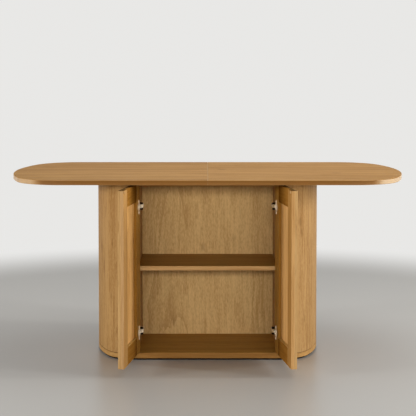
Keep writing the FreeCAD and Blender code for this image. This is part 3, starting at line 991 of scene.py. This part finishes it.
def add_screws(finish):
    tree = make_screw_tree()
    hinge_step = (0.0, 0.0, HINGE_Z[1] - HINGE_Z[0])
    for side, word in SIDES:
        face = door_point(CUP_X, CUP_FACE_Y, 0.0, side)
        flange_z = HINGE_Z[0] - FLANGE_SCREW_STEP / 2
        flange = grow(word + "_flange_screws", tree, dict(
            First=door_point(CUP_X, CUP_FACE_Y + SCREW_HEAD_RISE, flange_z, side),
            Axis=door_point(CUP_X, CUP_FACE_Y + 1.0, 0.0, side) - face,
            Screws=2, Screw_Step=(0.0, 0.0, FLANGE_SCREW_STEP), Groups=2, Group_Step=hinge_step,
            Head_Radius=0.0036, Head_Height=SCREW_HEAD_HEIGHT, Seed=3 + side, Finish=finish))
        piece_of(word + "_flange_screws", [flange], word + "_door")
        plate_z = HINGE_Z[0] - PLATE_SCREW_STEP / 2
        plate = grow(word + "_plate_screws", tree, dict(
            First=(side * (PLATE_FACE_X - SCREW_HEAD_RISE), PLATE_SCREW_Y, plate_z),
            Axis=(-side, 0.0, 0.0), Screws=2, Screw_Step=(0.0, 0.0, PLATE_SCREW_STEP),
            Groups=2, Group_Step=hinge_step,
            Head_Radius=0.0034, Head_Height=SCREW_HEAD_HEIGHT, Seed=7 + side, Finish=finish))
        arm = grow(word + "_arm_screws", tree, dict(
            First=(side * (ARM_BOX[0].x - SCREW_HEAD_RISE), ARM_SCREW_Y, HINGE_Z[0]),
            Axis=(-side, 0.0, 0.0), Screws=2, Screw_Step=(0.0, ARM_SCREW_STEP, 0.0),
            Groups=2, Group_Step=hinge_step,
            Head_Radius=0.0032, Head_Height=SCREW_HEAD_HEIGHT, Seed=11 + side, Finish=finish))
        piece_of(word + "_hinge_screws", [plate, arm], "pedestal")
    ceiling = grow("top_fixing_screws", tree, dict(
        First=(*TOP_SCREW_FIRST, CEILING_Z - SCREW_HEAD_HEIGHT), Axis=(0.0, 0.0, -1.0),
        Screws=2, Screw_Step=(0.0, TOP_SCREW_STEP_Y, 0.0),
        Groups=3, Group_Step=(TOP_SCREW_STEP_X, 0.0, 0.0),
        Head_Radius=0.0048, Head_Height=0.0022, Seed=19, Finish=finish))
    piece_of("top_fixing_screws", [ceiling], "pedestal")


# ---------------------------------------------------------------- dress the solids
def dress(finish, *node_names):
    for name in node_names:
        node = nodes[name]
        node.data.materials.clear()
        node.data.materials.append(finish)


oak = {}
for side, word in SIDES:
    oak.update(oak_of_one_side(side, word))
oak.update(oak_of_the_middle())
for name, finish in oak.items():
    dress(finish, name)

METAL_GRAIN = (0.006, 0.006, 0.012)
PLATING = dict(metallic=0.3, relief=0.00002, arris=0.0003)
black = plain_finish(
    "plinth_black", (0.004, 0.004, 0.004), (0.009, 0.008, 0.007), (0.05, 0.05, 0.02), 0.70,
    specular=0.1)
nickel = plain_finish(
    "hinge_nickel", (0.95, 0.80, 0.58), (0.97, 0.85, 0.66), METAL_GRAIN, 0.40, **PLATING)
# darker, amber nickel for the right hinge arms only: painted reflection of the oak round them and
# painted shade
nickel_painted_reflection = plain_finish(
    "nickel_painted_reflection", (0.52, 0.35, 0.17), (0.60, 0.43, 0.23), METAL_GRAIN, 0.40, **PLATING)
zinc = plain_finish(
    "zinc_steel", (0.62, 0.63, 0.65), (0.72, 0.73, 0.74), (0.003, 0.003, 0.003), 0.34,
    metallic=1.0, relief=0.00002, arris=0.0002)
pad = plain_finish("pad_rubber", (0.46, 0.27, 0.10), (0.50, 0.30, 0.12), (0.003, 0.003, 0.003), 0.75)
beech = oak_finish(
    "tongue_beech", grain_along_table, Seed=20.0, Figure=0.1, Streaks=0.6,
    Pale_Wood=(0.62, 0.44, 0.27, 1.0), Dark_Wood=(0.52, 0.35, 0.20, 1.0),
    Pore_Wood=(0.35, 0.20, 0.10, 1.0))
# near-black finish of the arm caps, which stand in mostly as painted shade
cap_shade_finish = plain_finish(
    "painted_shade_caps", (0.012, 0.007, 0.003), (0.022, 0.013, 0.006), (0.004, 0.004, 0.004), 0.60,
    specular=0.1)
dress(black, "plinth_board")
dress(zinc, "shelf_pins")
dress(beech, "seam_tongue")
for side, word in SIDES:
    dress(pad, word + "_door_bumper")
    dress(nickel, word + "_hinge_cups", word + "_hinge_plates", word + "_hinge_links")
dress(nickel, "left_hinge_arms")
dress(nickel_painted_reflection, "right_hinge_arms")
add_screws(nickel)
add_arm_caps(cap_shade_finish)


# ---------------------------------------------------------------- floor, light and camera
BACKDROP = (0.81, 0.805, 0.79, 1.0)
FLOOR_GREY = (0.42, 0.405, 0.375, 1.0)
FLOOR_REACH = 40.0
FLOOR_FADE = (1.9, 2.9)
AMBIENT = 0.10


def seen_share(tree):
    """1 for the rays of the camera, of reflections and of clear parts, 0 for those that light."""
    rays = add_node(tree, "ShaderNodeLightPath")
    seen = calc(tree, "MAXIMUM", rays.outputs["Is Camera Ray"], rays.outputs["Is Glossy Ray"])
    return calc(tree, "MAXIMUM", seen, rays.outputs["Is Transmission Ray"])


def make_floor():
    """A grey floor that keeps the table's shadow and fades into the backdrop further out."""
    mesh = bpy.data.meshes.new("studio_floor")
    corners = [(x * FLOOR_REACH, y * FLOOR_REACH, 0.0) for x, y in ((-1, -1), (1, -1), (1, 1), (-1, 1))]
    mesh.from_pydata(corners, [], [(0, 1, 2, 3)])
    floor = bpy.data.objects.new("studio_floor", mesh)
    bpy.context.scene.collection.objects.link(floor)
    material, tree, shader = new_material("studio_floor")
    shader.inputs["Base Color"].default_value = FLOOR_GREY
    shader.inputs["Roughness"].default_value = 0.35
    distance = add_node(tree, "ShaderNodeVectorMath", operation="LENGTH")
    feed(tree, distance.inputs[0], object_coordinate(tree))
    far = slope(tree, distance.outputs["Value"], *FLOOR_FADE)
    glow = add_node(tree, "ShaderNodeEmission")
    glow.inputs["Color"].default_value = BACKDROP
    mixed = add_node(tree, "ShaderNodeMixShader")
    feed(tree, mixed.inputs[0], times(tree, far, seen_share(tree)))
    feed(tree, mixed.inputs[1], shader.outputs[0])
    feed(tree, mixed.inputs[2], glow.outputs[0])
    feed(tree, tree.nodes["Material Output"].inputs["Surface"], mixed.outputs[0])
    mesh.materials.append(material)


def make_world():
    """A weak even light all round, behind which the plain backdrop shows."""
    world = bpy.data.worlds.new("studio")
    bpy.context.scene.world = world
    world.use_nodes = True
    tree = world.node_tree
    soft = add_node(tree, "ShaderNodeBackground")
    soft.inputs["Color"].default_value = (1.0, 1.0, 1.0, 1.0)
    soft.inputs["Strength"].default_value = AMBIENT
    white = add_node(tree, "ShaderNodeBackground")
    white.inputs["Color"].default_value = BACKDROP
    mixed = add_node(tree, "ShaderNodeMixShader")
    feed(tree, mixed.inputs[0], seen_share(tree))
    feed(tree, mixed.inputs[1], soft.outputs[0])
    feed(tree, mixed.inputs[2], white.outputs[0])
    feed(tree, tree.nodes["World Output"].inputs["Surface"], mixed.outputs[0])


def soft_box(name, place, aim, width, height, watts, mirrored=True):
    """A rectangular lamp aimed at a point. mirrored says whether it shows in reflections."""
    light = bpy.data.lights.new(name, "AREA")
    light.shape = "RECTANGLE"
    light.size = width
    light.size_y = height
    light.energy = watts
    lamp = bpy.data.objects.new(name, light)
    bpy.context.scene.collection.objects.link(lamp)
    lamp.location = place
    lamp.rotation_euler = (Vector(aim) - Vector(place)).to_track_quat("-Z", "Y").to_euler()
    lamp.visible_glossy = mirrored


make_floor()
make_world()
PEDESTAL_AIM = (0.0, -0.3, 0.5)
soft_box("left_softbox", (-5.5, -2.3, 1.32), PEDESTAL_AIM, 0.45, 0.62, 150.0, mirrored=False)
soft_box("right_softbox", (5.5, -2.3, 1.75), PEDESTAL_AIM, 0.45, 1.6, 148.0, mirrored=False)
soft_box("left_edge_light", (-5.5, -0.6, 1.32), PEDESTAL_AIM, 0.45, 0.7, 44.0)
soft_box("right_edge_light", (5.5, -0.6, 1.65), PEDESTAL_AIM, 0.45, 1.6, 142.0)
soft_box("front_softbox", (0.0, -6.0, 1.62), (0.0, 0.0, 0.4), 4.5, 0.60, 184.0, mirrored=False)
soft_box("overhead_softbox", (0.5, 0.3, 3.2), (0.1, 0.0, 0.7), 3.2, 1.8, 46.5)

CAMERA_PLACE = (0.0, -5.327, 1.2518)
CAMERA_DIP = 3.13
camera_data = bpy.data.cameras.new("camera")
camera_data.sensor_width = 36.0
camera_data.lens = 106.76
camera_data.shift_x = 0.001
camera_data.shift_y = -0.20
camera_data.clip_end = 200.0
camera = bpy.data.objects.new("camera", camera_data)
bpy.context.scene.collection.objects.link(camera)
camera.location = CAMERA_PLACE
camera.rotation_euler = (math.radians(90.0 - CAMERA_DIP), 0.0, 0.0)
bpy.context.scene.camera = camera
bpy.context.scene.view_settings.view_transform = "Standard"
